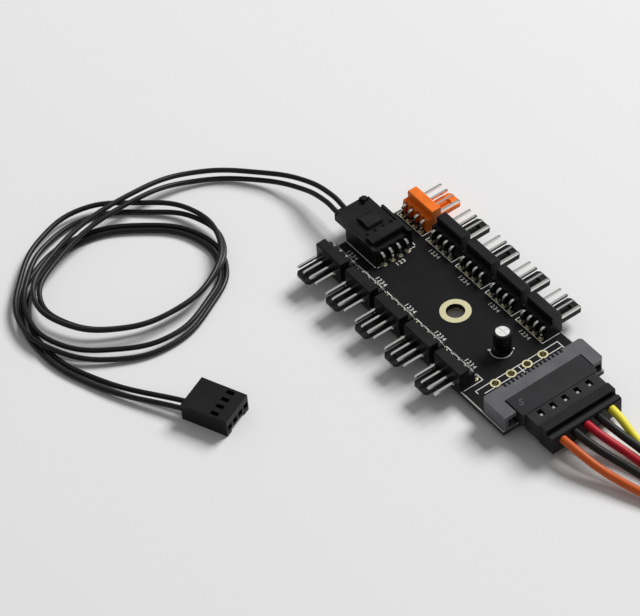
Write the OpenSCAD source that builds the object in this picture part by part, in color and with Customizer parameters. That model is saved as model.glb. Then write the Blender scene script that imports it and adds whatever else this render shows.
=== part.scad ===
// Fan hub board with ten four-way fan headers, a control lead and a power lead.
// Z is up and the floor is z = 0. The board lies along Y: its control end is at +Y
// and its power end at -Y. X runs across the board.

/* [Board] */
// Length of the board
board_l = 77; // [64:0.5:90]
// Width of the board
board_w = 32; // [32:0.5:40]
// Thickness of the board
board_t = 1.6; // [1:0.1:2]
// How far the soldered legs stand below the board
leg_below = 1.5; // [1.2:0.1:2]
// Diameter of the mounting hole
hole_d = 5; // [3:0.1:6]
// Width of the bare metal ring around the mounting hole
ring_w = 1.6; // [0.8:0.1:2]
// Thickness of the copper plating
plating_t = 0.06; // [0.05:0.01:0.1]
// Distance of the mounting hole from the power end
hole_from_power = 39.2; // [37:0.1:40]
// Thickness of the printed lines
ink_t = 0.04; // [0.03:0.01:0.08]
// Width of the printed lines
ink_w = 0.22; // [0.15:0.01:0.4]

/* [Fan headers] */
// Distance from one header to the next
header_pitch = 12.25; // [11.2:0.05:12.4]
// Distance of the first header's middle from the control end
header_first = 6.2; // [5.6:0.1:6.6]
// Depth of the tall front part of a header's body
header_d = 3; // [2.8:0.1:3.4]
// Height of a header's body above the board
header_h = 6.3; // [5.6:0.1:7]
// How far a header's front face stands out past the board's edge
header_out = 0.35; // [0:0.05:1]
// Distance of the legs from the board's edge
leg_inset = 5.5; // [5:0.1:6]
// Depth of the low part behind it
low_d = 1.25; // [0.8:0.05:1.3]
// Height of that low part
low_h = 4.2; // [3.9:0.1:5]
// How far the ribs between the pins reach behind the low part
rib_d = 0.6; // [0.3:0.05:0.7]
// Width of the locking tab
tab_w = 5.2; // [4.4:0.1:5.6]
// Thickness of the locking tab
tab_t = 1; // [0.8:0.05:1.2]
// Length of the locking tab in front of the body
tab_l = 7.8; // [6:0.1:8.5]
// Height of the tab's underside above the board
tab_z = 0.95; // [0.6:0.05:1]

/* [Pins] */
// Distance between pins
pin_pitch = 2.54; // [2.4:0.02:2.6]
// Width of a square pin
pin_w = 0.64; // [0.5:0.01:0.7]
// Height of the pins above the board
pin_z = 3.25; // [3:0.05:3.4]
// Length of the pins in front of a header's body
pin_reach = 7.05; // [6:0.05:7.5]
// Inner radius of the pins' bend
bend_r = 0.7; // [0.4:0.05:0.75]
// Clearance between a pin and the hole it passes through, on each side
pin_fit = 0.02; // [0.01:0.01:0.05]
// Diameter of a drilled leg hole
drill_d = 1.05; // [1:0.05:1.2]
// Diameter of a solder joint
solder_d = 1.9; // [1.6:0.05:2.1]
// Height of a solder joint
solder_h = 1.1; // [0.8:0.05:1.1]

/* [Control header] */
// Distance of the control legs from the control end
control_leg = 13.2; // [13:0.1:14]
// Width of the shroud, outside
shroud_w = 12.3; // [12:0.1:13]
// Thickness of the shroud's side walls
shroud_t = 0.75; // [0.6:0.05:0.8]
// Height of the shroud's side walls
shroud_h = 5.3; // [4.8:0.1:6]

/* [Control plug] */
// Width of the plug
cplug_w = 10.3; // [9.8:0.1:10.4]
// Length of the plug
cplug_l = 13.4; // [12:0.1:15]
// Height of the plug's top above the board
cplug_top = 5.05; // [4.8:0.05:5.4]
// Thickness of the plug at its wire end
cplug_t = 3.1; // [2.8:0.1:3.2]
// Gap between a plug and the face it is pushed against
plug_gap = 0.1; // [0.05:0.05:0.2]

/* [Far housing] */
// Width of the housing at the lead's far end
socket_w = 10.2; // [10:0.1:10.6]
// Length of that housing
socket_l = 13.2; // [12:0.1:14]
// Height of that housing
socket_h = 5.4; // [5:0.1:6]
// Width of the rails under it
rail_w = 1.9; // [1:0.1:2]
// Depth of the channel between the rails
rail_h = 1; // [0.6:0.1:1.2]

/* [Power header] */
// Width of the power header
power_w = 31.4; // [30:0.1:32]
// Depth of the power header, front to back
power_d = 9; // [8.5:0.1:10]
// Height of the power header above the board
power_h = 4.8; // [4.6:0.1:5.5]
// How far its front face stands out past the board's end
power_out = 0.4; // [0:0.1:1]
// Depth of the bay that takes the plug
bay_d = 4.7; // [4:0.1:5]
// Width of the power plug's nose
nose_w = 23.6; // [23:0.1:24.4]
// Clearance between the nose and the bay, on each side
nose_fit = 0.4; // [0.2:0.05:0.6]
// Thickness of the contact tongue
tongue_t = 1.3; // [1:0.1:1.5]
// Width of the contact tongue
tongue_w = 20.6; // [20:0.1:21]
// Distance between power contacts
contact_pitch = 1.27; // [1.2:0.01:1.3]

/* [Power plug] */
// Width of the plug behind its nose
shell_w = 21.8; // [21:0.1:22.6]
// Length of the nose
nose_l = 6.8; // [6:0.1:7]
// Length of the middle part with the windows
window_l = 5; // [4.6:0.1:6]
// Length of the rear cap
cap_l = 5.2; // [4.5:0.1:6]
// Height of the cap's top above the board
cap_top = 5.4; // [5.2:0.1:6]
// How far the cap reaches below the board's top face
cap_low = 1; // [0.5:0.1:1.4]
// Distance between the power wires at the plug
power_wire_pitch = 3.81; // [3.7:0.01:3.85]

/* [Capacitor] */
// Diameter of the capacitor
cap_d = 5; // [4:0.1:5.2]
// Height of the capacitor above the board
cap_h = 6.9; // [6:0.1:8]
// Distance of the capacitor from the power end
cap_from_power = 21.2; // [20.5:0.1:22]
// Distance of the capacitor from the board's centre line
cap_x = 1; // [0:0.1:2]

/* [Wires] */
// Diameter of a control wire
control_wire_d = 1.4; // [1.2:0.1:1.5]
// Diameter of a power wire
power_wire_d = 2.2; // [1.8:0.1:2.3]

/* [Hidden] */
ways = 4;
power_ways = 15;
power_wires = 5;
side = ["left", "right"];
colour_body = "#1b1b1d";
colour_orange = "#e8741c";
colour_tin = "#d9d9d6";
colour_gold = "#d8c06a";

// Heights and places that follow from the sizes above
board_z = leg_below;
top = board_z + board_t;
half_w = board_w / 2;
overall_l = board_l + power_out;
control_y = overall_l / 2;
power_y = control_y - board_l;
header_w = ways * pin_pitch;
rib_w = 1;
edge_cut = 0.25;
body_back = header_out - header_d;
low_back = body_back - low_d;
tab_x = pin_pitch / 2;
power_back = power_out - power_d;
power_leg = power_back - 1.1;
bay_w = nose_w + 2 * nose_fit;
spare_pitch = 2 * pin_pitch;
spare_from_power = 13.6;
spare_d = 1.9;
spare_ring = 0.42;
strip_half = 1;
strip_room = strip_half + 0.9;
row_room = board_l - header_first - header_w / 2 - spare_from_power - strip_room;
headers_per_side = 1 + floor(row_room / header_pitch);
hole_y = power_y + hole_from_power;
cap_at = [cap_x, power_y + cap_from_power];
cap_leg = 0.75;
cap_lead_d = 0.46;
sleeve_t = 0.15;
arc_gap = 0.45;
arc_shift = [-0.5, 0.2];
arc_turn = -35;
tail_w = 0.5;
tail_t = 0.3;
tail_drill = 0.8;
tongue_in = 0.3;
tongue_z = power_h / 2 - tongue_t / 2;
shell_low = -0.6;
window_w = 1.4;
window_end = 2.8;
wire_bore = power_wire_d + 0.1;
window_in = 1.5;
window_top = cap_top - 0.7;
tail_relief = 0.9;
cplug_front = control_y - control_leg + leg_inset + header_out + plug_gap;
cplug_rear = cplug_front + cplug_l;
socket_at = [-68.5, 20];
socket_turn = -156.4;
socket_pin_z = 2.45;
nose_rear = power_out - bay_d + plug_gap + nose_l;
cap_rear = nose_rear + window_l + cap_l;

// The power lead's coil: where it lies and how wide its turns are
coil_at = [28, -88];
coil_in = 8.5;
coil_out = 23.5;
coil_h = 4.4;
power_wire_z = 5.5;
far_l = 14;
far_h = 6.4;
far_tongue_z = 2.6;

function row_y(k) = control_y - header_first - k * header_pitch;
function way_x(i, n, pitch) = (i - (n - 1) / 2) * pitch;

// Every leg hole of the two header rows and the control header, as [x, y]
function fan_legs() = [for (s = [-1, 1]) for (k = [0 : headers_per_side - 1]) for (i = [0 : ways - 1])
    [s * (half_w - leg_inset), row_y(k) + way_x(i, ways, pin_pitch)]];
function control_legs() = [for (i = [0 : ways - 1])
    [way_x(i, ways, pin_pitch), control_y - control_leg]];
function power_legs() = [for (i = [0 : power_ways - 1])
    [way_x(i, power_ways, contact_pitch), power_y - power_leg]];
function spare_holes() = [for (i = [0 : 3]) [way_x(i, 4, spare_pitch), power_y + spare_from_power]];
function cap_legs() = [for (i = [-1, 1]) cap_at + [0, i * cap_leg]];

// Control wire 1, from the plug through its two turns to the far housing
control_route_1 = [[-1.3, 45.1, 6.5], [-1, 51.5, 6.5], [-2.5, 62, 5], [-9, 73.5, 3.3], [-21, 84, 3.2],
    [-37, 87, 5.1], [-71, 81, 5.2], [-81, 72.5, 4.8], [-80, 60.5, 4.3],
    [-69.5, 50, 3.8], [-55, 46.5, 3.7], [-41, 50, 3.8], [-31.5, 60, 3.8], [-31, 74.5, 3.2],
    [-40, 86, 2.3], [-52.5, 93.5, 2.2], [-66.5, 91.5, 2.2], [-79, 82.5, 2.3], [-87.5, 70, 2.3],
    [-86, 56, 2.3], [-75, 44, 1.2], [-60.5, 39.5, 0.85], [-46, 44, 0.85], [-34.5, 53, 0.85],
    [-33, 66.5, 0.85], [-43, 79.5, 0.85], [-58, 86.5, 0.85], [-74, 83.5, 0.85], [-85.5, 72.5, 0.85],
    [-88.5, 57.5, 0.85], [-84.5, 41, 0.85], [-72.1, 18.5, 2.5]];
// Control wire 2, beside it
control_route_2 = [[-3.8, 45.1, 6.5], [-3.5, 51.5, 6.2], [-4.5, 61.5, 3.8], [-10, 73, 1.5], [-22, 83, 1.3],
    [-38, 85.7, 3.8], [-70, 80, 3.7], [-79.5, 72, 3.4], [-78.5, 61, 3],
    [-69, 51.5, 2.4], [-55, 47.7, 2.2], [-41, 50.5, 2.3], [-31, 59, 2.3], [-31, 72, 1.8],
    [-39, 82.5, 0.9], [-51.5, 90.5, 0.85], [-65.5, 89.5, 1.5], [-77, 81.8, 2.4], [-85, 69.5, 2.3],
    [-84, 57, 2.3], [-74, 46.5, 2.1], [-60, 41, 2.2], [-46.5, 45, 2], [-36.3, 53.5, 0.85],
    [-34.8, 66, 0.85], [-44, 78, 0.85], [-58.3, 84.5, 0.85], [-73, 81.5, 0.85], [-83.7, 71.5, 0.85],
    [-86.7, 57.5, 0.85], [-82.3, 41.5, 0.85], [-69.8, 19.5, 2.5]];

// The stretch of each power wire from its contact in the plug to where it enters the coil
power_routes = [
    [[-7.6, -43.8, 5.5], [-7.6, -53, 5.5], [-4.8, -66, 3], [3.8, -82.5, 1.2]],
    [[-3.8, -43.8, 5.5], [-3.8, -53, 5.5], [-1.2, -64.5, 4.2], [4.3, -80, 3.3]],
    [[0, -43.8, 5.5], [0, -53, 5.5], [3, -63.5, 3], [5.2, -78, 1.2]],
    [[3.8, -43.8, 5.5], [3.8, -53, 5.5], [5.4, -63, 4.2], [6, -76.2, 3.3]],
    [[7.6, -43.8, 5.5], [7.6, -53, 5.5], [7.4, -62.5, 3], [6.9, -75, 1.2]]];

// A tube swept along a route: the rings stand square to the path
function unit(v) = v / norm(v);
function along(path, i) =
    i == 0 ? unit(path[1] - path[0]) :
    i == len(path) - 1 ? unit(path[i] - path[i - 1]) :
    unit(unit(path[i + 1] - path[i]) + unit(path[i] - path[i - 1]));
function ring(at, dir, r, sides) =
    let (across = unit(cross(dir, [0, 0, 1])), up = cross(across, dir))
    [for (s = [0 : sides - 1]) at + r * (cos(360 * s / sides) * across + sin(360 * s / sides) * up)];

module tube(path, d, sides = 8) {
    n = len(path);
    points = [for (i = [0 : n - 1]) each ring(path[i], along(path, i), d / 2, sides)];
    sides_of = [for (i = [0 : n - 2]) for (s = [0 : sides - 1])
        [i * sides + s, i * sides + (s + 1) % sides, (i + 1) * sides + (s + 1) % sides, (i + 1) * sides + s]];
    first = [for (s = [sides - 1 : -1 : 0]) s];
    last = [for (s = [0 : sides - 1]) (n - 1) * sides + s];
    polyhedron(points, concat(sides_of, [first, last]), convexity = 8);
}

// A box given by its lowest corner and its size, centred in x
module bar(w, y0, d, z0, h) {
    translate([-w / 2, y0, z0]) cube([w, d, h]);
}

// A profile in the y-z plane, extruded to a width centred on x
module across_x(w) {
    rotate([90, 0, 90]) linear_extrude(w, center = true) children();
}

// Frames: a header's frame has its origin on the board's edge, with +Y outwards
module fan_place(s, k) {
    translate([s * half_w, row_y(k), top]) rotate(-90 * s) children();
}
module control_place() {
    translate([0, control_y - control_leg + leg_inset, top]) children();
}
module power_place() {
    translate([0, power_y, top]) mirror([0, 1, 0]) children();
}
module socket_place() {
    translate([socket_at.x, socket_at.y, 0]) rotate(socket_turn) children();
}

module circuit_board() {
    color("#232325") difference() {
        translate([-half_w, power_y, board_z]) cube([board_w, board_l, board_t]);
        for (p = concat(fan_legs(), control_legs()))
            translate([p.x, p.y, 0]) cylinder(d = drill_d, h = 2 * top, $fn = 24);
        for (p = concat(power_legs(), cap_legs()))
            translate([p.x, p.y, 0]) cylinder(d = tail_drill, h = 2 * top, $fn = 24);
        for (p = spare_holes())
            translate([p.x, p.y, 0]) cylinder(d = spare_d + 2 * plating_t, h = 2 * top, $fn = 32);
        translate([0, hole_y, 0]) cylinder(d = hole_d, h = 2 * top, $fn = 48);
    }
}

// A plated hole: a barrel through the board with a flat ring on each face
module plated_hole(d, rim) {
    difference() {
        union() {
            translate([0, 0, board_z - plating_t]) cylinder(d = d + 2 * rim, h = plating_t, $fn = 48);
            translate([0, 0, board_z]) cylinder(d = d + 2 * plating_t, h = board_t, $fn = 48);
            translate([0, 0, top]) cylinder(d = d + 2 * rim, h = plating_t, $fn = 48);
        }
        translate([0, 0, board_z - 1]) cylinder(d = d, h = board_t + 2, $fn = 48);
    }
}

// The bare rings on the board's two faces, around an unplated hole
module mounting_hole_ring() {
    color(colour_gold) for (z = [board_z - plating_t, top]) translate([0, hole_y, z]) difference() {
        cylinder(d = hole_d + 2 * ring_w, h = plating_t, $fn = 48);
        translate([0, 0, -1]) cylinder(d = hole_d, h = 2, $fn = 48);
    }
}

module spare_pads() {
    color(colour_gold) for (p = spare_holes()) translate([p.x, p.y, 0]) plated_hole(spare_d, spare_ring);
}

// A straight printed line from one point to another, with square ends
module ink_line(a, b) {
    run = b - a;
    translate([a.x, a.y, top]) rotate(atan2(run.y, run.x))
        translate([-ink_w / 2, -ink_w / 2, 0]) cube([norm(run) + ink_w, ink_w, ink_t]);
}

// The half ring printed at the capacitor, with a short bar at each end
module printed_arc() {
    intersection() {
        difference() {
            cylinder(d = cap_d + 2 * arc_gap, h = ink_t, $fn = 48);
            translate([0, 0, -1]) cylinder(d = cap_d + 2 * arc_gap - 2 * ink_w, h = 2, $fn = 48);
        }
        translate([-cap_d, -2 * cap_d, 0]) cube([2 * cap_d, 2 * cap_d, 1]);
    }
    for (e = [-1, 1]) translate([e * (cap_d / 2 + arc_gap), 0, 0]) bar(0.8, 0, 0.5, 0, ink_t);
}

module printed_lines() {
    ink_left = -half_w + leg_inset + 1.2;
    ink_right = half_w - leg_inset - 0.7;
    box_end = half_w - 0.8;
    box_half = header_w / 2 + 0.25;
    row_end = row_y(headers_per_side - 1) - header_w / 2;
    bracket = shroud_w / 2 + 0.25;
    bracket_y = control_y - control_leg;
    strip = 2.5 * spare_pitch + 0.4;
    strip_y = power_y + spare_from_power;
    color("#e4e4de") {
        for (k = [0 : headers_per_side - 1]) {
            ink_line([ink_left, row_y(k) + header_w / 2], [ink_left, row_y(k) - header_w / 2]);
            ink_line([ink_right, row_y(k) + box_half], [ink_right, row_y(k) - box_half]);
            for (e = [-1, 1])
                ink_line([ink_right, row_y(k) + e * box_half], [box_end, row_y(k) + e * box_half]);
        }
        for (k = [1 : headers_per_side - 1])
            ink_line([ink_left - 0.35, row_y(k) + header_w / 2 + 0.3],
                [ink_left - 0.35, row_y(k - 1) - header_w / 2 - 0.3]);
        ink_line([ink_left, row_end - 0.25], [-box_end, row_end - 0.25]);
        for (e = [-1, 1]) {
            ink_line([e * bracket, control_y - 0.3], [e * bracket, bracket_y + 0.5]);
            ink_line([e * (bracket - 0.4), bracket_y], [e * (bracket - 1), bracket_y]);
            ink_line([e * (bracket - 1.5), bracket_y], [e * (bracket - 1.9), bracket_y]);
        }
        difference() {
            union() {
                ink_line([-strip + 1.4, strip_y - strip_half], [strip, strip_y - strip_half]);
                ink_line([-strip, strip_y + strip_half], [strip, strip_y + strip_half]);
                ink_line([-strip, strip_y + strip_half], [-strip, strip_y]);
                ink_line([strip, strip_y + strip_half], [strip, strip_y - 2 * strip_half]);
                ink_line([0.3, strip_y + strip_half], [0.3, strip_y - 2 * strip_half]);
            }
            for (p = spare_holes()) translate([p.x, p.y, 0])
                cylinder(d = spare_d + 2 * spare_ring + 0.1, h = 2 * top, $fn = 48);
        }
        difference() {
            translate([cap_at.x + arc_shift.x, cap_at.y + arc_shift.y, top]) rotate(arc_turn) printed_arc();
            translate([cap_at.x, cap_at.y, 0]) cylinder(d = cap_d - 0.5, h = 2 * top, $fn = 48);
        }
    }
}

// One solder joint under the board, with its leg of w by l through it
module solder_joint(p, d, h, w, l) {
    translate([p.x, p.y, 0]) difference() {
        translate([0, 0, board_z - h]) cylinder(d1 = 1.6 * w, d2 = d, h = h, $fn = 24);
        translate([-w / 2, -l / 2, board_z - 2 * h]) cube([w, l, 3 * h]);
    }
}

module solder_joints() {
    color("#c8c8c6") {
        for (p = concat(fan_legs(), control_legs())) solder_joint(p, solder_d, solder_h, pin_w, pin_w);
        for (p = power_legs()) solder_joint(p, contact_pitch - 0.15, solder_h / 2, tail_w, tail_t);
        for (p = cap_legs()) solder_joint(p, 2 * cap_leg - 0.2, solder_h / 2, cap_lead_d, cap_lead_d);
    }
}

// The moulded body of a header: a tall front, a lower part behind, and ribs between its pins
module header_block() {
    foot_cut = 0.4;
    difference() {
        union() {
            across_x(header_w) polygon([[low_back, 0], [header_out, 0], [header_out, header_h - edge_cut],
                [header_out - edge_cut, header_h], [body_back + edge_cut, header_h],
                [body_back, header_h - edge_cut], [body_back, low_h], [low_back, low_h]]);
            for (i = [0 : ways])
                translate([i == 0 ? -header_w / 2 + rib_w / 2 : i == ways ? header_w / 2 - rib_w / 2
                    : way_x(i, ways + 1, pin_pitch), 0, 0])
                    across_x(rib_w) polygon([[low_back + rib_w, 0], [low_back - rib_d, 0],
                        [low_back - rib_d, low_h / 2], [low_back - edge_cut, low_h],
                        [low_back + rib_w, low_h]]);
        }
        for (i = [0 : ways - 1])
            translate([way_x(i, ways, pin_pitch), 0, pin_z])
                cube([pin_w + 2 * pin_fit, 4 * header_d, pin_w + 2 * pin_fit], center = true);
        bar(header_w - 3, low_back + 0.8, header_out - low_back - 1.6, -1, 1 + foot_cut);
    }
}

// The flat tab that locks a plug, with its catch ridge
module lock_tab() {
    corner = 0.7;
    reach = header_out + tab_l;
    translate([tab_x, 0, tab_z]) {
        linear_extrude(tab_t) polygon([[-tab_w / 2, header_out - 0.5], [tab_w / 2, header_out - 0.5],
            [tab_w / 2, reach - corner], [tab_w / 2 - corner, reach], [-tab_w / 2 + corner, reach],
            [-tab_w / 2, reach - corner]]);
        across_x(tab_w * 0.55) translate([reach - 2.6, tab_t])
            polygon([[0, 0], [0.35, 0.35], [0.6, 0.35], [1.4, 0]]);
    }
}

module fan_header_body(colour) {
    color(colour) {
        header_block();
        lock_tab();
    }
}

// A square pin, bent down behind the body and through the board
module bent_pin() {
    p = pin_w / 2;
    tip = header_out + pin_reach;
    foot = -board_t - leg_below;
    bend_y = -leg_inset + p + bend_r;
    bend_z = pin_z - p - bend_r;
    outer = [for (a = [90 : 22.5 : 180])
        [bend_y + (bend_r + pin_w) * cos(a), bend_z + (bend_r + pin_w) * sin(a)]];
    inner = [for (a = [180 : -22.5 : 90]) [bend_y + bend_r * cos(a), bend_z + bend_r * sin(a)]];
    across_x(pin_w) polygon(concat(
        [[tip, pin_z - p * 0.4], [tip, pin_z + p * 0.4], [tip - 0.6, pin_z + p]], outer,
        [[-leg_inset - p, foot + 0.4], [-leg_inset - p * 0.4, foot], [-leg_inset + p * 0.4, foot],
         [-leg_inset + p, foot + 0.4]], inner, [[tip - 0.6, pin_z - p]]));
}

module pin_row() {
    color(colour_tin) for (i = [0 : ways - 1]) translate([way_x(i, ways, pin_pitch), 0, 0]) bent_pin();
}

// The control header: a pin header with a floor and two side walls around its plug
module control_header_body() {
    wall_l = control_leg - leg_inset;
    rear = low_back - rib_d;
    color(colour_body) control_place() {
        header_block();
        for (e = [-1, 1])
            translate([e * (shroud_w - shroud_t) / 2, 0, 0]) bar(shroud_t, rear, wall_l - rear, 0, shroud_h);
        difference() {
            bar(shroud_w, rear, wall_l - rear, 0, tab_z - 0.35);
            bar(header_w + 0.02, rear - 1, header_out - rear + 1, -1, 3);
        }
        for (e = [-1, 1])
            translate([e * (shroud_w + header_w) / 4, 0, 0])
                bar((shroud_w - header_w) / 2, low_back, header_out - low_back, 0, shroud_h);
    }
}

module control_pins() {
    control_place() pin_row();
}

// The plug on the control header: a thin rear part, a thicker nose and a latch hump
module control_plug() {
    nose = cplug_front - control_y + control_leg - leg_inset;
    rear = nose + cplug_l;
    nose_l = 8;
    low = cplug_top - cplug_t;
    nose_low = tab_z - 0.15;
    color(colour_body) control_place() difference() {
        union() {
            bar(cplug_w, nose, cplug_l, low, cplug_t);
            bar(cplug_w, nose, nose_l, nose_low, cplug_top - nose_low);
            across_x(4.6) polygon([[nose + 2, cplug_top - 0.1], [nose + 2.6, cplug_top + 0.9],
                [nose + 5.6, cplug_top + 1.1], [nose + 7.2, cplug_top + 0.4], [nose + 8, cplug_top - 0.1]]);
            translate([3.6, 0, 0]) bar(1.6, rear - 2.2, 1.4, cplug_top - 0.1, 0.7);
        }
        translate([tab_x, 0, 0]) bar(tab_w + 0.5, nose - 1, tab_l + 1.4, 0, tab_z + tab_t + 0.45);
        for (i = [0 : ways - 1]) translate([way_x(i, ways, pin_pitch), 0, 0]) {
            translate([0, nose - 1, pin_z]) rotate([-90, 0, 0]) cylinder(d = 1.8, h = cplug_l + 2, $fn = 24);
            bar(1, nose + 0.6, 1, cplug_top - 0.3, 1);
        }
        bar(cplug_w * 0.55, rear - 3, 4, cplug_top - 0.5, 2);
        for (e = [-1, 1]) translate([e * cplug_w / 2, rear - 1.1, 0]) bar(1.6, 0, 2, cplug_top - 0.9, 2);
    }
}

// A crimped terminal: a box on the pin and a barrel on the wire
module terminal(pin_end, wire_end, z) {
    difference() {
        translate([0, pin_end, z]) rotate([-90, 0, 0]) cylinder(d = 1.7, h = wire_end - pin_end, $fn = 24);
        bar(pin_w + 2 * pin_fit, pin_end - 1, pin_reach + 1, z - pin_w / 2 - pin_fit, pin_w + 2 * pin_fit);
    }
}

module control_terminals() {
    nose = cplug_front - control_y + control_leg - leg_inset;
    color(colour_tin) control_place() for (i = [0, 1])
        translate([way_x(i, ways, pin_pitch), 0, 0]) terminal(nose + 0.4, nose + cplug_l - 0.4, pin_z);
}

// The loose housing on the lead's far end, windows up, standing on its two rails
module lead_socket() {
    color(colour_body) socket_place() difference() {
        union() {
            bar(socket_w, 0, socket_l, rail_h, socket_h - rail_h);
            for (e = [-1, 1]) translate([e * (socket_w - rail_w) / 2, 0, 0])
                bar(rail_w, 0, socket_l, 0, socket_h);
        }
        for (i = [0 : ways - 1]) translate([way_x(i, ways, pin_pitch), 0, 0]) {
            bar(1.8, 0.8, socket_l, socket_pin_z - 0.9, 1.8);
            translate([0, -1, socket_pin_z]) rotate([-90, 0, 0]) cylinder(d = 1.8, h = 3, $fn = 24);
            bar(1.2, socket_l - 5.2, 2.2, socket_pin_z, socket_h);
        }
    }
}

module socket_terminals() {
    color(colour_tin) socket_place() for (i = [2, 3])
        translate([way_x(i, ways, pin_pitch), 0, 0]) difference() {
        translate([0, 0.4, socket_pin_z]) rotate([-90, 0, 0]) cylinder(d = 1.7, h = socket_l - 1, $fn = 24);
        bar(0.8, socket_l - 6, 7, socket_pin_z - 0.4, 0.8);
    }
}

module control_wire_1() {
    color("#151515") tube(control_route_1, control_wire_d);
}

module control_wire_2() {
    color("#151515") tube(control_route_2, control_wire_d);
}

// The grey shell of a power header: a back wall with a comb, two arms with slots and a floor
module power_shell(depth, z0, h) {
    arm = (power_w - bay_w) / 2;
    rear = power_out - depth;
    bay = power_out - bay_d;
    comb = contact_pitch - 0.55;
    difference() {
        bar(power_w, rear, depth, z0, h);
        bar(bay_w, bay, bay_d + 1, z0 - 1, h + 2);
        for (e = [-1, 1])
            translate([e * (bay_w / 2 + arm * 0.35), 0, 0])
                bar(arm * 0.75, power_out - 2.8, 4, z0 + 0.9, h - 2.1);
        translate([power_w / 2, power_out, z0]) rotate(45) cube([1.1, 1.1, 3 * h], center = true);
        for (e = [-1, 1])
            translate([e * power_w / 2, rear, z0]) rotate(45) cube([0.9, 0.9, 3 * h], center = true);
        bar(tongue_w, rear - 1, 1 + tail_relief, z0 - 1, 2.2);
        for (i = [0 : power_ways - 1])
            translate([way_x(i, power_ways, contact_pitch), 0, 0]) bar(comb, rear - 1, 2, z0 + h - 1.2, 2);
    }
    bar(bay_w + 0.2, bay - 0.1, 1, z0, 0.6);
}

// The tongue that carries the contacts, with a key at one end
module power_tongue(z) {
    root = power_out - bay_d - 0.5;
    reach = bay_d + 0.5 - tongue_in;
    bar(tongue_w, root, reach, z, tongue_t);
    translate([-tongue_w / 2 + 0.6, 0, 0]) bar(1.2, root, reach, z - 0.9, 1);
}

// The strips of metal on a tongue's top
module contact_strips(z) {
    for (i = [0 : power_ways - 1]) translate([way_x(i, power_ways, contact_pitch), 0, 0])
        bar(contact_pitch - 0.57, power_out - bay_d + 0.05, bay_d - 0.05 - 2 * tongue_in, z + tongue_t, 0.12);
}

module power_header_body() {
    color("#58585c") power_place() {
        power_shell(power_d, 0, power_h);
        power_tongue(tongue_z);
    }
}

// Each contact: a strip on the tongue, and a flat tail bent down through the board
module power_contacts() {
    wall = power_back + tail_relief;
    low = 0.5;
    foot = -board_t - 1.2;
    color("#d8c88a") power_place() {
        contact_strips(tongue_z);
        for (i = [0 : power_ways - 1]) translate([way_x(i, power_ways, contact_pitch), 0, 0])
            across_x(tail_w) polygon([[wall, low], [wall, low + tail_t],
                [power_leg + tail_t / 2, low + tail_t], [power_leg - tail_t / 2, low],
                [power_leg - tail_t / 2, foot], [power_leg + tail_t / 2, foot],
                [power_leg + tail_t / 2, low]]);
    }
}

// The power plug: a nose in the bay, and a middle part with five windows
module power_plug() {
    nose = power_out - bay_d + plug_gap;
    rear = nose_rear + window_l;
    mouth = bay_d + 2.3;
    color("#222224") power_place() difference() {
        union() {
            bar(nose_w, nose, nose_rear - nose, 0.7, power_h - 0.6);
            bar(shell_w, nose_rear - 0.5, window_l + 0.5, shell_low, window_top - shell_low);
        }
        bar(tongue_w + 0.5, nose - 1, mouth, tongue_z - 0.2, tongue_t + 0.55);
        translate([-tongue_w / 2 + 0.6, 0, 0]) bar(1.7, nose - 1, mouth, tongue_z - 1.2, 2);
        for (i = [0 : power_wires - 1]) translate([way_x(i, power_wires, power_wire_pitch), 0, 0]) {
            bar(window_w, nose_rear + 0.7, window_end - 0.7, window_top - window_in, 3);
            rotate([-90, 0, 0]) translate([0, top - power_wire_z, nose_rear + window_end])
                cylinder(d = wire_bore, h = window_l, $fn = 24);
        }
        bar(shell_w + 1, rear - 0.2, 1, window_top - 0.3, 2);
        for (e = [-1, 1])
            translate([e * nose_w / 2, nose_rear, 0]) rotate(45) cube([0.8, 0.8, 30], center = true);
    }
}

// The metal contacts that show in the windows and grip the wires
module plug_contacts() {
    color(colour_tin) power_place() for (i = [0 : power_wires - 1])
        translate([way_x(i, power_wires, power_wire_pitch), 0, 0])
            bar(window_w / 2, nose_rear + 1.6, window_w / 2, window_top - window_in, 0.9);
}

// The cap pressed onto the plug's rear, over the wires, with a ledge at its end
module plug_cap() {
    y0 = nose_rear + window_l;
    end = y0 + cap_l;
    ledge_z = cap_top - 1.1;
    channel_z = power_wire_z - top + wire_bore / 2 + 0.25;
    color("#1d1d1f") power_place() difference() {
        across_x(shell_w) polygon([[y0, -cap_low], [end, -cap_low], [end, ledge_z - 0.5],
            [end - 0.3, ledge_z - 0.1], [end - 1.4, ledge_z], [end - 1.5, channel_z],
            [end - 2.3, channel_z], [end - 2.4, cap_top], [y0, cap_top]]);
        for (i = [0 : power_wires - 1])
            translate([way_x(i, power_wires, power_wire_pitch), 0, power_wire_z - top])
            rotate([-90, 0, 0]) translate([0, 0, y0 - 1]) cylinder(d = wire_bore, h = cap_l + 2, $fn = 24);
    }
}

module power_wire(i, colour) {
    color(colour) tube(power_routes[i], power_wire_d);
}

// The wound rest of the power lead, as one closed ring
module power_coil() {
    color("#2a2a2a") translate([coil_at.x, coil_at.y, 0]) rotate_extrude($fn = 64)
        translate([coil_in, 0]) square([coil_out - coil_in, coil_h]);
}

// The lead's far connector, lying on the coil with its wires' ends towards the last turn
module far_place() {
    translate([coil_at.x + 23.7, coil_at.y - 6.6, coil_h]) rotate(-77) children();
}

module far_connector() {
    color("#222224") far_place() difference() {
        union() {
            power_shell(far_l, 0, far_h);
            power_tongue(far_tongue_z);
        }
        for (i = [0 : power_wires - 1]) translate([way_x(i, power_wires, power_wire_pitch), 0, far_h / 2])
            rotate([-90, 0, 0]) translate([0, 0, power_out - far_l - 1])
                cylinder(d = wire_bore, h = 4, $fn = 24);
    }
}

module far_contacts() {
    color("#d8c88a") far_place() contact_strips(far_tongue_z);
}

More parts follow.
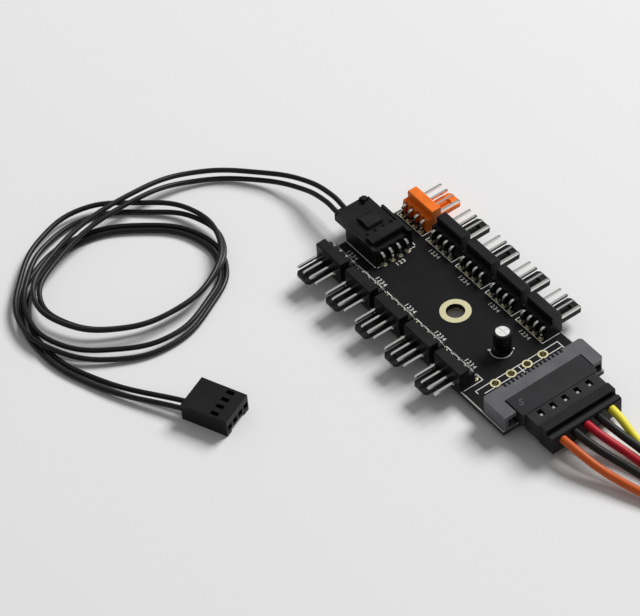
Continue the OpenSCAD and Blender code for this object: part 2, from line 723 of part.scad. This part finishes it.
// The capacitor: an aluminium can in a sleeve with a rolled top, on a rubber seal
module capacitor_can() {
    seal = 0.9;
    score = 0.24;
    color("#c9cacc") translate([cap_at.x, cap_at.y, top]) difference() {
        translate([0, 0, seal]) cylinder(d = cap_d - 0.2, h = cap_h - seal - sleeve_t, $fn = 48);
        for (a = [0, 90]) translate([0, 0, cap_h - sleeve_t - 0.12]) rotate(a)
            bar(cap_d - 1.6, -score / 2, score, 0, 1);
    }
}

module capacitor_sleeve() {
    color("#141416") translate([cap_at.x, cap_at.y, top]) difference() {
        translate([0, 0, 0.35]) cylinder(d = cap_d, h = cap_h - 0.35, $fn = 48);
        translate([0, 0, -1]) cylinder(d = cap_d - 0.16, h = cap_h + 1 - sleeve_t, $fn = 48);
        cylinder(d = cap_d - 1.3, h = 2 * cap_h, $fn = 48);
    }
}

module capacitor_seal() {
    color("#2b2b2b") translate([cap_at.x, cap_at.y, top]) difference() {
        cylinder(d = cap_d - 0.6, h = 0.88, $fn = 48);
        for (e = [-1, 1]) translate([0, e * cap_leg, -1]) cylinder(d = cap_lead_d + 0.04, h = 3, $fn = 24);
    }
}

module capacitor_leads() {
    color(colour_tin) for (p = cap_legs()) translate([p.x, p.y, 0.3])
        cylinder(d = cap_lead_d, h = top + 0.55, $fn = 24);
}

circuit_board();
mounting_hole_ring();
spare_pads();
printed_lines();
solder_joints();
for (s = [0, 1]) for (k = [1 : headers_per_side]) {
    fan_place(2 * s - 1, k - 1) fan_header_body(s == 1 && k == 1 ? colour_orange : colour_body);
    fan_place(2 * s - 1, k - 1) pin_row();
}
control_header_body();  // control_header
control_pins();
control_plug();
control_terminals();
control_wire_1();
control_wire_2();
lead_socket();
socket_terminals();
power_header_body();  // power_header
power_contacts();
power_plug();
plug_contacts();
plug_cap();
for (i = [1 : power_wires])
    power_wire(i - 1, ["#e0752a", "#1a1a1a", "#c01820", "#1a1a1a", "#e8d832"][i - 1]);
power_coil();
far_connector();
far_contacts();
capacitor_can();
capacitor_sleeve();
capacitor_seal();
capacitor_leads();
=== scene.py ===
# The looks of a fan hub board: its materials, wires, printing and small fittings
import bpy, bmesh, math
from mathutils import Matrix, Vector


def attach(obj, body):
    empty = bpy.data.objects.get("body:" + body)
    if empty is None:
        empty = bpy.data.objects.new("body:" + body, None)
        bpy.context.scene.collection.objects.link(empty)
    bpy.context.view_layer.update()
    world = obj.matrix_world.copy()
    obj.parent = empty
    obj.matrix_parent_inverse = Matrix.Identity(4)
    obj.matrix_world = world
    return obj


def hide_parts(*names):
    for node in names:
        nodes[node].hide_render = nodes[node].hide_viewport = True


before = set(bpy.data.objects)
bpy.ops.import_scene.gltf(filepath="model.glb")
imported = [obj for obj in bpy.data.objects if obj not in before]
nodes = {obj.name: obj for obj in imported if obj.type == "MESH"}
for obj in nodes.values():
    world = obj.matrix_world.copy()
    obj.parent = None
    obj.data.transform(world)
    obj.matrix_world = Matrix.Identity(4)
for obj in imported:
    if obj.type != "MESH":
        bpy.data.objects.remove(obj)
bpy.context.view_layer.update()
scene = bpy.context.scene
mm = 0.001
boardTop = 3.1    # mm above the floor
headerRow = {"firstY": 32.5, "pitch": 12.25, "count": 5}    # mm, the same on both sides
print("frame loaded:", len(nodes), "nodes")

# The camera: its place and turn are matched to the photograph
cameraView = {
    "place": (-0.3467, -0.4672, 0.6267),    # metres
    "forward": (0.3748, 0.5735, -0.7284),
    "right": (0.800, -0.597, -0.058),
    "lens": 189.3, "sensorWidth": 36,       # mm
    "clipStart": 0.05, "clipEnd": 20,       # metres
}


def makeCamera(v):
    data = bpy.data.cameras.new("camera")
    cam = bpy.data.objects.new("camera", data)
    scene.collection.objects.link(cam)
    back = -Vector(v["forward"]).normalized()
    right = Vector(v["right"])
    right = (right - back * right.dot(back)).normalized()
    up = back.cross(right)
    turn = Matrix((right, up, back)).transposed().to_4x4()
    cam.matrix_world = Matrix.Translation(v["place"]) @ turn
    data.lens = v["lens"]
    data.sensor_width = v["sensorWidth"]
    data.clip_start = v["clipStart"]
    data.clip_end = v["clipEnd"]
    scene.camera = cam


makeCamera(cameraView)
scene.view_settings.view_transform = "Standard"


# Colours are written as sRGB hex and turned to linear here
def toLinear(hexText):
    out = []
    for i in (1, 3, 5):
        c = int(hexText[i:i + 2], 16) / 255
        out.append(c / 12.92 if c <= 0.04045 else ((c + 0.055) / 1.055) ** 2.4)
    return (*out, 1.0)


# Adds one node, sets its values and joins its inputs
def addNode(tree, kind, values=None, links=None, **settings):
    node = tree.nodes.new(kind)
    for key, value in settings.items():
        setattr(node, key, value)
    for key, value in (values or {}).items():
        node.inputs[key].default_value = value
    for key, source in (links or {}).items():
        tree.links.new(source, node.inputs[key])
    return node


def newMaterial(name):
    mat = bpy.data.materials.new(name)
    mat.use_nodes = True
    mat.node_tree.nodes.clear()
    return mat, mat.node_tree


# How the tint and sheen of every plastic, rubber and ink wander. A real mould's grain is
# finer than the grain sizes given here, which are as coarse as they need to be to show
mouldedLook = {
    "cloudMm": 3.5, "cloudDetail": 3.0,     # slow changes of tint and sheen
    "band": (0.3, 0.7),                     # of the noise, from the dark end to the pale one
    "grainDetail": 2.0, "bumpStrength": 0.5,
    "smoother": 0.05, "rougher": 0.07,      # roughness below and above the material's own
    "ior": 1.5,
}


# A plastic, rubber or ink: a colour with slight mottling, and grain from its mould
def mouldedMaterial(name, colour, rough, grainMm, grainDepth, mottle, gloss, v=mouldedLook):
    mat, tree = newMaterial(name)
    place = addNode(tree, "ShaderNodeTexCoord").outputs["Object"]
    cloud = addNode(tree, "ShaderNodeTexNoise",
                    {"Scale": 1 / (v["cloudMm"] * mm), "Detail": v["cloudDetail"]},
                    {"Vector": place}).outputs["Fac"]
    tint = addNode(tree, "ShaderNodeValToRGB", None, {"Fac": cloud})
    for element, position, share in zip(tint.color_ramp.elements, v["band"], (1 - mottle, 1 + mottle)):
        element.position = position
        element.color = (*[min(1, c * share) for c in toLinear(colour)[:3]], 1)
    grain = addNode(tree, "ShaderNodeTexNoise",
                    {"Scale": 1 / (grainMm * mm), "Detail": v["grainDetail"]}, {"Vector": place})
    bump = addNode(tree, "ShaderNodeBump",
                   {"Strength": v["bumpStrength"], "Distance": grainDepth * mm},
                   {"Height": grain.outputs["Fac"]})
    sheen = addNode(tree, "ShaderNodeMapRange",
                    {"From Min": v["band"][0], "From Max": v["band"][1],
                     "To Min": rough - v["smoother"], "To Max": rough + v["rougher"]}, {"Value": cloud})
    shader = addNode(tree, "ShaderNodeBsdfPrincipled", {"Specular IOR Level": gloss, "IOR": v["ior"]},
                     {"Base Color": tint.outputs["Color"], "Roughness": sheen.outputs["Result"],
                      "Normal": bump.outputs["Normal"]})
    addNode(tree, "ShaderNodeOutputMaterial", None, {"Surface": shader.outputs["BSDF"]})
    return mat


# How every metal's polish changes from spot to spot, as shares of its own roughness
metalLook = {"spotMm": 0.15, "detail": 2.0, "band": (0.3, 0.7), "smoother": 0.75, "rougher": 1.3}


# A metal: one even colour, with a polish that changes a little from spot to spot
def metalMaterial(name, colour, rough, metallic, v=metalLook):
    mat, tree = newMaterial(name)
    place = addNode(tree, "ShaderNodeTexCoord").outputs["Object"]
    spots = addNode(tree, "ShaderNodeTexNoise",
                    {"Scale": 1 / (v["spotMm"] * mm), "Detail": v["detail"]}, {"Vector": place})
    sheen = addNode(tree, "ShaderNodeMapRange",
                    {"From Min": v["band"][0], "From Max": v["band"][1],
                     "To Min": rough * v["smoother"], "To Max": rough * v["rougher"]},
                    {"Value": spots.outputs["Fac"]})
    shader = addNode(tree, "ShaderNodeBsdfPrincipled",
                     {"Base Color": toLinear(colour), "Metallic": metallic},
                     {"Roughness": sheen.outputs["Result"]})
    addNode(tree, "ShaderNodeOutputMaterial", None, {"Surface": shader.outputs["BSDF"]})
    return mat


# The board: near-black satin mask, a thin pale strip along the top edge that is bare fibre with a
# painted highlight, and a cut rim painted dark grey as shade. Sizes are in mm
boardLook = {
    # The strip's pale colour is bare fibre with a painted highlight; the cut rim's dark grey is painted
    # shade
    "mask": ("#141416", "#1a1a1c"), "bare": ("#a8a8a2", "#d0d0ca"), "cut": ("#242422", "#3c3c38"),
    "halfWidth": 16, "yEnds": (-38.3, 38.7),
    "stripWidth": 0.22, "stripHeight": 0.352, "rimDepth": 0.02,
    "fibreMm": 0.3, "fibreDetail": 3.0, "fibreBand": (0.35, 0.65),      # the cut glass threads
    "cloudMm": 6, "cloudDetail": 2.0, "cloudBand": (0, 1),              # the mask's slow changes
    "grainMm": 0.5, "grainDetail": 2.0, "grainDepth": 0.004, "bumpStrength": 0.4,
    "smoothest": 0.34, "roughest": 0.46, "gloss": 0.12,
}


def boardMaterial(name, v):
    mat, tree = newMaterial(name)
    place = addNode(tree, "ShaderNodeTexCoord").outputs["Object"]
    axes = addNode(tree, "ShaderNodeSeparateXYZ", None, {"Vector": place}).outputs
    middleY, halfLength = sum(v["yEnds"]) / 2 * mm, (v["yEnds"][1] - v["yEnds"][0]) / 2 * mm
    # How far a point lies past the sides, the ends and the top: below zero inside the board
    wide = addNode(tree, "ShaderNodeMath", None, {0: axes["X"]}, operation="ABSOLUTE").outputs[0]
    along = addNode(tree, "ShaderNodeMath", {1: middleY}, {0: axes["Y"]},
                    operation="SUBTRACT").outputs[0]
    far = addNode(tree, "ShaderNodeMath", None, {0: along}, operation="ABSOLUTE").outputs[0]
    past = {}
    for key, reach, limit in (("side", wide, v["halfWidth"] * mm), ("end", far, halfLength),
                              ("top", axes["Z"], boardTop * mm)):
        past[key] = addNode(tree, "ShaderNodeMath", {1: limit}, {0: reach},
                            operation="SUBTRACT").outputs[0]
    past["edge"] = addNode(tree, "ShaderNodeMath", None, {0: past["side"], 1: past["end"]},
                           operation="MAXIMUM").outputs[0]
    # One where a point is close enough to the edge, to the top, and on the cut rim
    near = {}
    for key, distance, depth in (("edge", past["edge"], "stripWidth"), ("top", past["top"], "stripHeight"),
                                 ("rim", past["edge"], "rimDepth")):
        near[key] = addNode(tree, "ShaderNodeMath", {1: -v[depth] * mm}, {0: distance},
                            operation="GREATER_THAN").outputs[0]
    # One on the thin strip along the top edge, where a highlight is painted
    onPaintedHighlight = addNode(tree, "ShaderNodeMath", None, {0: near["edge"], 1: near["top"]},
                      operation="MULTIPLY").outputs[0]
    noise = {}
    for key in ("fibre", "cloud", "grain"):
        noise[key] = addNode(tree, "ShaderNodeTexNoise",
                             {"Scale": 1 / (v[key + "Mm"] * mm), "Detail": v[key + "Detail"]},
                             {"Vector": place}).outputs["Fac"]
    tint = {}
    for key, pattern in (("mask", "cloud"), ("cut", "fibre"), ("bare", "fibre")):
        ramp = addNode(tree, "ShaderNodeValToRGB", None, {"Fac": noise[pattern]})
        for element, position, colour in zip(ramp.color_ramp.elements, v[pattern + "Band"], v[key]):
            element.position = position
            element.color = toLinear(colour)
        tint[key] = ramp.outputs["Color"]
    # The cut rim takes its dark grey as painted shade, and the top-edge strip its pale colour as a painted
    # highlight
    side = addNode(tree, "ShaderNodeMixRGB", None,
                   {"Fac": near["rim"], "Color1": tint["mask"], "Color2": tint["cut"]})
    both = addNode(tree, "ShaderNodeMixRGB", None,
                   {"Fac": onPaintedHighlight, "Color1": side.outputs["Color"], "Color2": tint["bare"]})
    bump = addNode(tree, "ShaderNodeBump",
                   {"Strength": v["bumpStrength"], "Distance": v["grainDepth"] * mm},
                   {"Height": noise["grain"]})
    rough = addNode(tree, "ShaderNodeMapRange", {"To Min": v["smoothest"], "To Max": v["roughest"]},
                    {"Value": noise["cloud"]})
    shader = addNode(tree, "ShaderNodeBsdfPrincipled", {"Specular IOR Level": v["gloss"]},
                     {"Base Color": both.outputs["Color"], "Roughness": rough.outputs["Result"],
                      "Normal": bump.outputs["Normal"]})
    addNode(tree, "ShaderNodeOutputMaterial", None, {"Surface": shader.outputs["BSDF"]})
    return mat


# Name, colour, roughness, grain size and grain depth in mm, mottling, gloss
plastics = {
    # near black and dull, as glass-filled nylon comes from the mould
    "nylon": ("black_nylon_moulded", "#121214", 0.45, 0.3, 0.01, 0.15, 0.2),
    # the same in a clear, slightly shiny orange
    "orangeNylon": ("orange_nylon_moulded", "#f07418", 0.4, 0.3, 0.01, 0.1, 0.3),
    # mid grey with a soft sheen on its broad faces
    "greyPbt": ("grey_pbt_moulded", "#5c5c60", 0.4, 0.3, 0.008, 0.08, 0.3),
    # the darkest housings
    "blackPbt": ("black_pbt_moulded", "#101012", 0.45, 0.3, 0.01, 0.12, 0.2),
    # a little paler than the cap behind it
    "plugPbt": ("black_pbt_moulded_satin", "#262628", 0.45, 0.3, 0.01, 0.1, 0.2),
    # a raised mark, whose edges catch the light
    "plugMark": ("black_pbt_raised_mark", "#505052", 0.45, 0.3, 0.01, 0.1, 0.3),
    # flat white that doesn't shine
    "ink": ("white_printing_ink", "#e6e6e0", 0.55, 0.15, 0.01, 0.08, 0.2),
    # smooth black film, the glossiest black here
    "sleeve": ("shrunk_pvc_sleeve", "#121214", 0.3, 0.8, 0.004, 0.1, 0.3),
    # dull dark rubber
    "rubber": ("butyl_rubber", "#202020", 0.6, 0.2, 0.01, 0.1, 0.2),
    # soft insulation with a long highlight along each wire
    "blackPvc": ("black_pvc_insulation", "#161617", 0.38, 0.5, 0.006, 0.12, 0.3),
    "orangePvc": ("orange_pvc_insulation", "#c4561c", 0.4, 0.5, 0.006, 0.08, 0.3),
    "redPvc": ("red_pvc_insulation", "#b41426", 0.4, 0.5, 0.006, 0.08, 0.3),
    "yellowPvc": ("yellow_pvc_insulation", "#e6d83a", 0.4, 0.5, 0.006, 0.06, 0.3),
}

# Name, colour, roughness, metallic
metals = {
    # white and almost a mirror, so the pins flash along their tops
    "tin": ("bright_tin_plate", "#e6e6e2", 0.16, 1.0),
    # softer and greyer than the plate
    "solder": ("solder", "#c4c4c2", 0.3, 1.0),
    # pale yellow, a thin wash of gold over nickel
    "gold": ("thin_gold_plate", "#f8f0c4", 0.34, 1.0),
    # a satin can that looks pale from every side, so it is only partly metallic
    "aluminium": ("drawn_aluminium", "#ececea", 0.4, 0.35),
}

materials = {"solderMask": boardMaterial("solder_mask_on_glass_fibre", boardLook)}
materials.update({key: mouldedMaterial(*row) for key, row in plastics.items()})
materials.update({key: metalMaterial(*row) for key, row in metals.items()})
print("materials made:", len(materials))

# Which finish each CAD node takes, by the start of its name: the first that fits counts
nodeFinish = {
    "circuit_board": "solderMask", "mounting_hole_ring": "gold", "spare_pads": "gold",
    "printed_lines": "ink", "solder_joints": "solder",
    "fan_header_right_1": "orangeNylon", "fan_header": "nylon", "fan_pins": "tin",
    "control_header": "nylon", "control_pins": "tin",
    "control_plug": "blackPbt", "control_terminals": "tin",
    "lead_socket": "blackPbt", "socket_terminals": "tin",
    "power_header": "greyPbt", "power_contacts": "gold",
    "power_plug": "plugPbt", "plug_contacts": "tin", "plug_cap": "blackPbt",
    "far_connector": "blackPbt", "far_contacts": "gold",
    "capacitor_can": "aluminium", "capacitor_sleeve": "sleeve",
    "capacitor_seal": "rubber", "capacitor_leads": "tin",
}


def dressNodes():
    for name, obj in nodes.items():
        for start, finish in nodeFinish.items():
            if name.startswith(start):
                obj.data.materials.clear()
                obj.data.materials.append(materials[finish])
                break


dressNodes()

# The leads: each wire is a curve along its route, in mm here and in metres in the scene
wireMesh = {"stepsPerPoint": 8, "roundness": 4}

controlLead = {
    "diameter": 1.4, "length": 470,
    "routes": {
        "control_wire_1": [
            (-1.3, 45.1, 6.5), (-1, 51.5, 6.5), (-2.5, 62, 5), (-9, 73.5, 3.3), (-21, 84, 3.2),
            (-37, 87, 5.1), (-71, 81, 5.2), (-81, 72.5, 4.8), (-80, 60.5, 4.3),
            (-69.5, 50, 3.8), (-55, 46.5, 3.7), (-41, 50, 3.8), (-31.5, 60, 3.8), (-31, 74.5, 3.2),
            (-40, 86, 2.3), (-52.5, 93.5, 2.2), (-66.5, 91.5, 2.2), (-79, 82.5, 2.3), (-87.5, 70, 2.3),
            (-86, 56, 2.3), (-75, 44, 1.2), (-60.5, 39.5, 0.85), (-46, 44, 0.85), (-34.5, 53, 0.85),
            (-33, 66.5, 0.85), (-43, 79.5, 0.85), (-58, 86.5, 0.85), (-74, 83.5, 0.85), (-85.5, 72.5, 0.85),
            (-88.5, 57.5, 0.85), (-84.5, 41, 0.85), (-72.1, 18.5, 2.5)],
        "control_wire_2": [
            (-3.8, 45.1, 6.5), (-3.5, 51.5, 6.2), (-4.5, 61.5, 3.8), (-10, 73, 1.5), (-22, 83, 1.3),
            (-38, 85.7, 3.8), (-70, 80, 3.7), (-79.5, 72, 3.4), (-78.5, 61, 3),
            (-69, 51.5, 2.4), (-55, 47.7, 2.2), (-41, 50.5, 2.3), (-31, 59, 2.3), (-31, 72, 1.8),
            (-39, 82.5, 0.9), (-51.5, 90.5, 0.85), (-65.5, 89.5, 1.5), (-77, 81.8, 2.4), (-85, 69.5, 2.3),
            (-84, 57, 2.3), (-74, 46.5, 2.1), (-60, 41, 2.2), (-46.5, 45, 2), (-36.3, 53.5, 0.85),
            (-34.8, 66, 0.85), (-44, 78, 0.85), (-58.3, 84.5, 0.85), (-73, 81.5, 0.85), (-83.7, 71.5, 0.85),
            (-86.7, 57.5, 0.85), (-82.3, 41.5, 0.85), (-69.8, 19.5, 2.5)],
    },
}

powerLead = {
    "diameter": 2.2, "lengths": [205, 195, 186, 176, 168],
    "colours": ["orangePvc", "blackPvc", "redPvc", "blackPvc", "yellowPvc"],
    "slots": ["wire_orange", "wire_black", "wire_red", "wire_black", "wire_yellow"],
    "coilWire": 2,                # the wire that stands for the coil's node
    "starts": [
        [(-7.6, -43.8, 5.5), (-7.6, -53, 5.5), (-4.8, -66, 3)],
        [(-3.8, -43.8, 5.5), (-3.8, -53, 5.5), (-1.2, -64.5, 4.2)],
        [(0, -43.8, 5.5), (0, -53, 5.5), (3, -63.5, 3)],
        [(3.8, -43.8, 5.5), (3.8, -53, 5.5), (5.4, -63, 4.2)],
        [(7.6, -43.8, 5.5), (7.6, -53, 5.5), (7.4, -62.5, 3)]],
    "centre": (28, -88),          # of the coil
    "radius": 20.2,               # of the bundle's middle where it enters
    "pitch": 6.7,                 # how far each turn lies inside the last
    "firstAngle": 193, "lastAngle": 283 + 360,
    "lanes": [2.2, 1.1, 0, -1.1, -2.2],     # each wire's place across the bundle
    "heights": [1.2, 3.1, 1.2, 3.1, 1.2],
    "plugPitch": 3.81,
    "plugHeight": 7.6,            # of the wires at the far connector
    "plugGap": 8,                 # from the last turn to the far connector
    "riseAngle": 80,              # over which the bundle climbs to it
    "riseShort": 1.2,             # how far below the plug's height that climb ends
    "riseSpread": 0.35,           # how much the wires part as they climb
    "straightEnd": 2.5,           # of each wire, into the far connector
    "coilSteps": 20,
}


def wireCurve(name, points, diameterMm, finish):
    data = bpy.data.curves.new(name, "CURVE")
    data.dimensions = "3D"
    spline = data.splines.new("BEZIER")
    spline.bezier_points.add(len(points) - 1)
    for dot, p in zip(spline.bezier_points, points):
        dot.co = Vector(p) * mm
        dot.handle_left_type = dot.handle_right_type = "AUTO"
    data.resolution_u = wireMesh["stepsPerPoint"]
    data.bevel_depth = diameterMm / 2 * mm
    data.bevel_resolution = wireMesh["roundness"]
    data.use_fill_caps = True
    data.materials.append(materials[finish])
    wire = bpy.data.objects.new(name, data)
    scene.collection.objects.link(wire)
    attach(wire, "root")
    return wire


def smoothStep(t):
    t = max(0.0, min(1.0, t))
    return t * t * (3 - 2 * t)


# The coiled part of one power wire: a spiral on the floor that climbs to the far connector
def coilPoints(v, i):
    cx, cy = v["centre"]
    steps = v["coilSteps"]
    turn = v["lastAngle"] - v["firstAngle"]
    points = []
    for k in range(steps + 1):
        angle = turn * k / steps
        climb = smoothStep((angle - turn + v["riseAngle"]) / v["riseAngle"])
        lane = v["lanes"][i] * (1 + v["riseSpread"] * climb)
        r = v["radius"] - v["pitch"] * angle / 360 + lane
        a = math.radians(v["firstAngle"] + angle)
        z = v["heights"][i] + (v["plugHeight"] - v["riseShort"] - v["heights"][i]) * climb
        points.append((cx + r * math.cos(a), cy + r * math.sin(a), z))
    last = math.radians(v["lastAngle"])
    outward = Vector((math.cos(last), math.sin(last), 0))
    ahead = Vector((-math.sin(last), math.cos(last), 0))
    endR = v["radius"] - v["pitch"] * turn / 360
    fromMiddle = (len(v["lanes"]) - 1) // 2 - i
    plug = Vector((cx, cy, v["plugHeight"])) + outward * (endR + v["plugPitch"] * fromMiddle)
    plug += ahead * v["plugGap"]
    points.append(tuple(plug - ahead * v["straightEnd"]))
    points.append(tuple(plug))
    return points


def makeLeads():
    c = controlLead
    for name, route in c["routes"].items():
        wire = wireCurve(f"lead_{name}", route, c["diameter"], "blackPvc")
        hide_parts(name)
    p = powerLead
    for i, start in enumerate(p["starts"]):
        route = start + coilPoints(p, i)
        wire = wireCurve(f"lead_power_wire_{i + 1}", route, p["diameter"], p["colours"][i])
        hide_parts(f"power_wire_{i + 1}")
        if i == p["coilWire"]:
            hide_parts("power_coil")


makeLeads()
print("leads made")

# The printing: pin numbers beside the headers in white ink, and one number on the power plug
printing = {
    "inkThickness": 0.04,                       # mm
    "size": 1.75, "spacing": 1.22,              # of the digits
    "leftX": -8.3, "rightX": 8.25,
    "leftShift": 0.9, "rightShift": -0.1,       # along the board, from each header's middle
    "rowText": "1234", "rowTurn": -90,
    "controlText": "123", "controlAt": (-0.2, 23.35), "controlTurn": 0,
    "plugText": "5", "plugAt": (-9.4, -37.2, 8.0), "plugTurn": -37,
    "plugSize": 3.2, "plugThickness": 0.08, "plugSpacing": 1.0,
    "curveSteps": 3,                            # of each curve in a digit
}


# Adds flat digits to a bmesh, with their middle at a place and turned about the vertical
def addDigits(bm, text, place, turnDegrees, sizeMm, thicknessMm, spacing):
    data = bpy.data.curves.new("digits", "FONT")
    data.body = text
    data.size = sizeMm * mm
    data.space_character = spacing
    data.extrude = thicknessMm / 2 * mm
    data.align_x, data.align_y = "CENTER", "CENTER"
    data.resolution_u = printing["curveSteps"]
    holder = bpy.data.objects.new("digits", data)
    scene.collection.objects.link(holder)
    graph = bpy.context.evaluated_depsgraph_get()
    flat = bpy.data.meshes.new_from_object(holder.evaluated_get(graph))
    flat.transform(Matrix.Translation(Vector(place) * mm + Vector((0, 0, thicknessMm / 2 * mm)))
                   @ Matrix.Rotation(math.radians(turnDegrees), 4, "Z"))
    bm.from_mesh(flat)
    bpy.data.objects.remove(holder)
    bpy.data.meshes.remove(flat)


mergeDistance = 1e-6    # metres, between points that are one


# Turns a bmesh into a finished piece of the visual
def addPiece(bm, name, finish):
    bmesh.ops.remove_doubles(bm, verts=bm.verts, dist=mergeDistance)
    mesh = bpy.data.meshes.new(name)
    bm.to_mesh(mesh)
    bm.free()
    mesh.materials.append(materials[finish])
    piece = bpy.data.objects.new(name, mesh)
    scene.collection.objects.link(piece)
    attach(piece, "root")


def makePrinting(v, row):
    bm = bmesh.new()
    look = (v["size"], v["inkThickness"], v["spacing"])
    for k in range(row["count"]):
        y = row["firstY"] - k * row["pitch"]
        addDigits(bm, v["rowText"], (v["leftX"], y + v["leftShift"], boardTop), v["rowTurn"], *look)
        if k:       # on the right, from the second header on
            addDigits(bm, v["rowText"], (v["rightX"], y + v["rightShift"], boardTop), v["rowTurn"], *look)
    addDigits(bm, v["controlText"], (*v["controlAt"], boardTop), v["controlTurn"], *look)
    addPiece(bm, "printed_numbers", "ink")
    bm = bmesh.new()
    look = (v["plugSize"], v["plugThickness"], v["plugSpacing"])
    addDigits(bm, v["plugText"], v["plugAt"], v["plugTurn"], *look)
    addPiece(bm, "plug_number", "plugMark")


makePrinting(printing, headerRow)
print("printing made")

# The pads round the pins' legs on the board's top, and the solder that wets each leg
legPads = {
    "padRadius": 0.82, "holeRadius": 0.54, "padThickness": 0.05,
    "filletRadius": 0.5, "filletTop": 0.38, "filletHeight": 0.32,
    "rowX": 10.5, "ways": 4, "pinPitch": 2.54, "controlY": 25.5, "sides": 20,
}


# Where the legs stand: two rows of headers, and the control header
def legPlaces(v, row):
    ways = [(i - (v["ways"] - 1) / 2) * v["pinPitch"] for i in range(v["ways"])]
    rows = [(s * v["rowX"], row["firstY"] - k * row["pitch"] + w)
            for s in (-1, 1) for k in range(row["count"]) for w in ways]
    return rows + [(w, v["controlY"]) for w in ways]


def makeLegPads(v, row):
    pads, joints = bmesh.new(), bmesh.new()
    for x, y in legPlaces(v, row):
        at = Matrix.Translation(Vector((x, y, boardTop)) * mm)
        dots = []
        for size in ("padRadius", "holeRadius"):
            dots += bmesh.ops.create_circle(pads, segments=v["sides"], radius=v[size] * mm,
                                            matrix=at)["verts"]
        rings = list(dict.fromkeys(e for dot in dots for e in dot.link_edges))     # each edge once
        flat = bmesh.ops.bridge_loops(pads, edges=rings)["faces"]
        raised = bmesh.ops.extrude_face_region(pads, geom=flat, use_keep_orig=True)["geom"]
        bmesh.ops.translate(pads, vec=(0, 0, v["padThickness"] * mm),
                            verts=[g for g in raised if isinstance(g, bmesh.types.BMVert)])
        middleZ = boardTop + v["padThickness"] + v["filletHeight"] / 2
        up = Matrix.Translation(Vector((x, y, middleZ)) * mm)
        bmesh.ops.create_cone(joints, cap_ends=True, segments=v["sides"],
                              radius1=v["filletRadius"] * mm, radius2=v["filletTop"] * mm,
                              depth=v["filletHeight"] * mm, matrix=up)
    bmesh.ops.recalc_face_normals(pads, faces=pads.faces)
    bmesh.ops.recalc_face_normals(joints, faces=joints.faces)
    # Extruding stores its faces in another order each run, so they are put in one order here
    pads.verts.index_update()
    for rank, face in enumerate(sorted(pads.faces, key=lambda f: [dot.index for dot in f.verts])):
        face.index = rank
    pads.faces.sort()
    addPiece(pads, "leg_pads", "gold")
    addPiece(joints, "leg_solder", "solder")


makeLegPads(legPads, headerRow)
print("pads made")

# A plain pale floor and soft lights
stageValues = {
    "floor": "#e9e9e9", "floorSize": 6.0,
    "keyPower": 66.0, "keySize": 1.05, "keyPlace": (1.8, 0.22, 1.72),
    "fillPower": 1.2, "fillSize": 1.4, "fillPlace": (0.2, 1.2, 1.2),
    "worldColour": (1, 1, 1, 1), "worldStrength": 0.25,
    "floorRoughness": 0.8,
}


def makeStage(v):
    mesh = bpy.data.meshes.new("floor")
    bm = bmesh.new()
    bmesh.ops.create_grid(bm, x_segments=1, y_segments=1, size=v["floorSize"] / 2)
    bm.to_mesh(mesh)
    bm.free()
    floor = bpy.data.objects.new("floor", mesh)
    scene.collection.objects.link(floor)
    mat, tree = newMaterial("pale_paper_floor")
    shader = addNode(tree, "ShaderNodeBsdfPrincipled",
                     {"Base Color": toLinear(v["floor"]), "Roughness": v["floorRoughness"]})
    addNode(tree, "ShaderNodeOutputMaterial", None, {"Surface": shader.outputs["BSDF"]})
    mesh.materials.append(mat)
    for name in ("key", "fill"):
        data = bpy.data.lights.new(name, "AREA")
        data.energy = v[name + "Power"]
        data.size = v[name + "Size"]
        lamp = bpy.data.objects.new(name, data)
        scene.collection.objects.link(lamp)
        lamp.location = v[name + "Place"]
        lamp.rotation_euler = (-Vector(v[name + "Place"])).to_track_quat("-Z", "Y").to_euler()
    world = bpy.data.worlds.new("studio")
    scene.world = world
    world.use_nodes = True
    background = world.node_tree.nodes["Background"]
    background.inputs["Color"].default_value = v["worldColour"]
    background.inputs["Strength"].default_value = v["worldStrength"]


makeStage(stageValues)
print("stage made")
